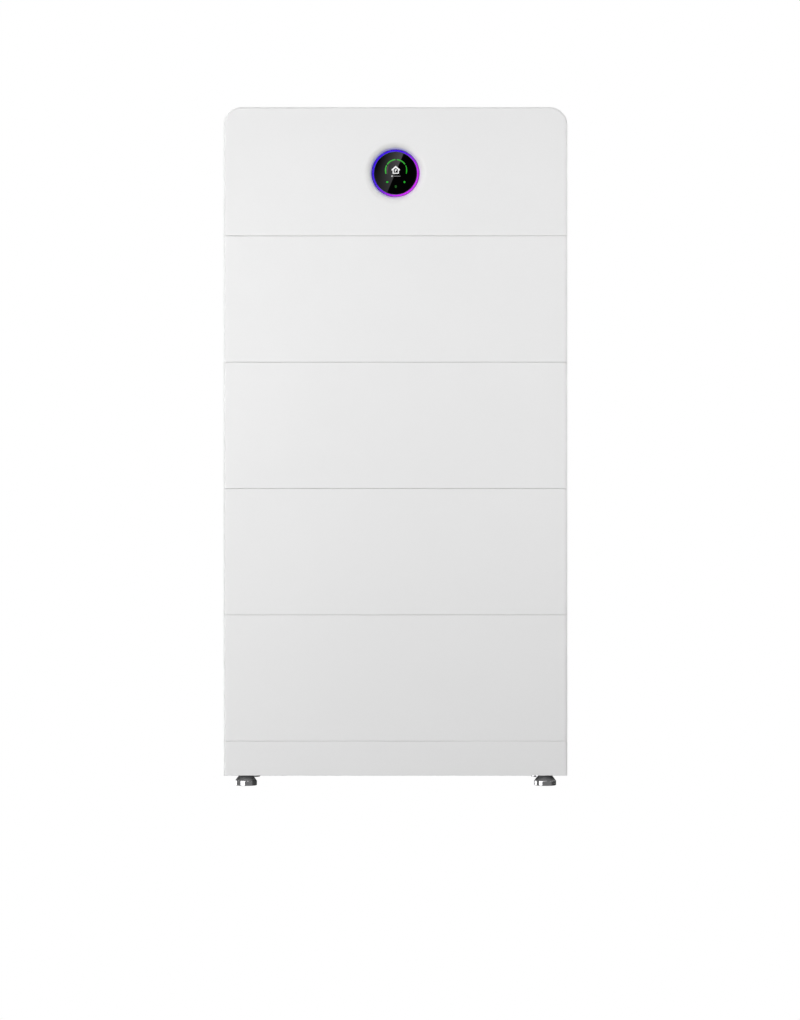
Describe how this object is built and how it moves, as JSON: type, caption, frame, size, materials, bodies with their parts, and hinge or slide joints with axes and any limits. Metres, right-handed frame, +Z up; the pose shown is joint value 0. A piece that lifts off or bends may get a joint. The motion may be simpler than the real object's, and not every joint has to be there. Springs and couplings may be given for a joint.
{
  "type": "home battery tower",
  "caption": "White floor-standing stack of battery modules on levelling feet, with a control head that has a round lit display and ties to a wall.",
  "frame": {"origin": "on the floor, in the middle of the footprint with its wall brackets", "axes": "+X to the right of somebody who faces the display, +Y towards the wall, +Z up"},
  "size_m": [0.6, 0.27, 1.186],
  "materials": {
    "white_powder_coat": "fine satin powder coat on 2 mm sheet steel",
    "galvanised_steel": "galvanised sheet",
    "dark_chrome": "dark polished nickel plating",
    "bright_steel": "bright zinc-plated steel",
    "black_plastic": "fine spark-eroded texture",
    "grey_plastic": "fine moulded texture",
    "display_glass": "gloss black cover lens over a round screen",
    "light_ring": "translucent light guide, blue to magenta",
    "circuit_board": "green solder mask",
    "cell_block": "cells in blue film, aluminium busbars",
    "orange_plastic": "fine moulded texture"
  },
  "bodies": {
    "tower": {"base_plinth": "white_powder_coat", "base_stack_plug": "orange_plastic", "base_subframe": "galvanised_steel", "battery_1_bms_board": "circuit_board", "battery_1_case": "white_powder_coat", "battery_1_cell_block": "cell_block", "battery_1_front_cover": "white_powder_coat", "battery_1_grip_left": "black_plastic", "battery_1_grip_right": "black_plastic", "battery_1_stack_plug": "orange_plastic", "battery_1_stack_socket": "orange_plastic", "battery_2_bms_board": "circuit_board", "battery_2_case": "white_powder_coat", "battery_2_cell_block": "cell_block", "battery_2_front_cover": "white_powder_coat", "battery_2_grip_left": "black_plastic", "battery_2_grip_right": "black_plastic", "battery_2_stack_plug": "orange_plastic", "battery_2_stack_socket": "orange_plastic", "battery_3_bms_board": "circuit_board", "battery_3_case": "white_powder_coat", "battery_3_cell_block": "cell_block", "battery_3_front_cover": "white_powder_coat", "battery_3_grip_left": "black_plastic", "battery_3_grip_right": "black_plastic", "battery_3_stack_plug": "orange_plastic", "battery_3_stack_socket": "orange_plastic", "battery_4_bms_board": "circuit_board", "battery_4_case": "white_powder_coat", "battery_4_cell_block": "cell_block", "battery_4_front_cover": "white_powder_coat", "battery_4_grip_left": "black_plastic", "battery_4_grip_right": "black_plastic", "battery_4_stack_plug": "orange_plastic", "battery_4_stack_socket": "orange_plastic", "comms_port": "black_plastic", "control_board": "circuit_board", "display_board": "circuit_board", "display_lens": "display_glass", "display_light_ring": "light_ring", "head_case": "white_powder_coat", "head_front_cover": "white_powder_coat", "head_stack_socket": "orange_plastic", "isolator_body": "grey_plastic", "main_contactor": "grey_plastic", "power_terminal_negative": "black_plastic", "power_terminal_positive": "orange_plastic", "service_panel": "grey_plastic", "wall_bracket_left": "galvanised_steel", "wall_bracket_right": "galvanised_steel"},
    "isolator_knob_body": {"isolator_knob": "black_plastic"},
    "start_button_body": {"start_button": "bright_steel"},
    "foot_front_left_pad": {"foot_pad_front_left": "dark_chrome"},
    "foot_front_left_stud": {"foot_stud_front_left": "bright_steel"},
    "foot_front_right_pad": {"foot_pad_front_right": "dark_chrome"},
    "foot_front_right_stud": {"foot_stud_front_right": "bright_steel"},
    "foot_rear_left_pad": {"foot_pad_rear_left": "dark_chrome"},
    "foot_rear_left_stud": {"foot_stud_rear_left": "bright_steel"},
    "foot_rear_right_pad": {"foot_pad_rear_right": "dark_chrome"},
    "foot_rear_right_stud": {"foot_stud_rear_right": "bright_steel"}
  },
  "joints": [
    {"name": "foot_front_left_height", "type": "slide", "parent": "tower", "child": "foot_front_left_pad", "axis": [0, 0, 1], "range_m": [-0.009, 0]},
    {"name": "foot_front_left_turn", "type": "hinge", "parent": "foot_front_left_pad", "child": "foot_front_left_stud", "pos_m": [-0.262, -0.105, 0.03], "axis": [0, 0, 1], "range_deg": [-2160, 0]},
    {"name": "foot_front_right_height", "type": "slide", "parent": "tower", "child": "foot_front_right_pad", "axis": [0, 0, 1], "range_m": [-0.009, 0]},
    {"name": "foot_front_right_turn", "type": "hinge", "parent": "foot_front_right_pad", "child": "foot_front_right_stud", "pos_m": [0.262, -0.105, 0.03], "axis": [0, 0, 1], "range_deg": [-2160, 0]},
    {"name": "foot_rear_left_height", "type": "slide", "parent": "tower", "child": "foot_rear_left_pad", "axis": [0, 0, 1], "range_m": [-0.009, 0]},
    {"name": "foot_rear_left_turn", "type": "hinge", "parent": "foot_rear_left_pad", "child": "foot_rear_left_stud", "pos_m": [-0.262, 0.085, 0.03], "axis": [0, 0, 1], "range_deg": [-2160, 0]},
    {"name": "foot_rear_right_height", "type": "slide", "parent": "tower", "child": "foot_rear_right_pad", "axis": [0, 0, 1], "range_m": [-0.009, 0]},
    {"name": "foot_rear_right_turn", "type": "hinge", "parent": "foot_rear_right_pad", "child": "foot_rear_right_stud", "pos_m": [0.262, 0.085, 0.03], "axis": [0, 0, 1], "range_deg": [-2160, 0]},
    {"name": "isolator_turn", "type": "hinge", "parent": "tower", "child": "isolator_knob_body", "pos_m": [0.2673, -0.048, 1.084], "axis": [1, 0, 0], "range_deg": [0, 90]},
    {"name": "start_button_press", "type": "slide", "parent": "tower", "child": "start_button_body", "axis": [-1, 0, 0], "range_m": [0, 0.003], "stiffness_N_per_m": 600, "springref_m": -0.002}
  ],
  "couplings": [
    {"joint": "foot_front_left_turn", "follows": "foot_front_left_height", "rad_per_m": 4188.8},
    {"joint": "foot_front_right_turn", "follows": "foot_front_right_height", "rad_per_m": 4188.8},
    {"joint": "foot_rear_left_turn", "follows": "foot_rear_left_height", "rad_per_m": 4188.8},
    {"joint": "foot_rear_right_turn", "follows": "foot_rear_right_height", "rad_per_m": 4188.8}
  ]
}
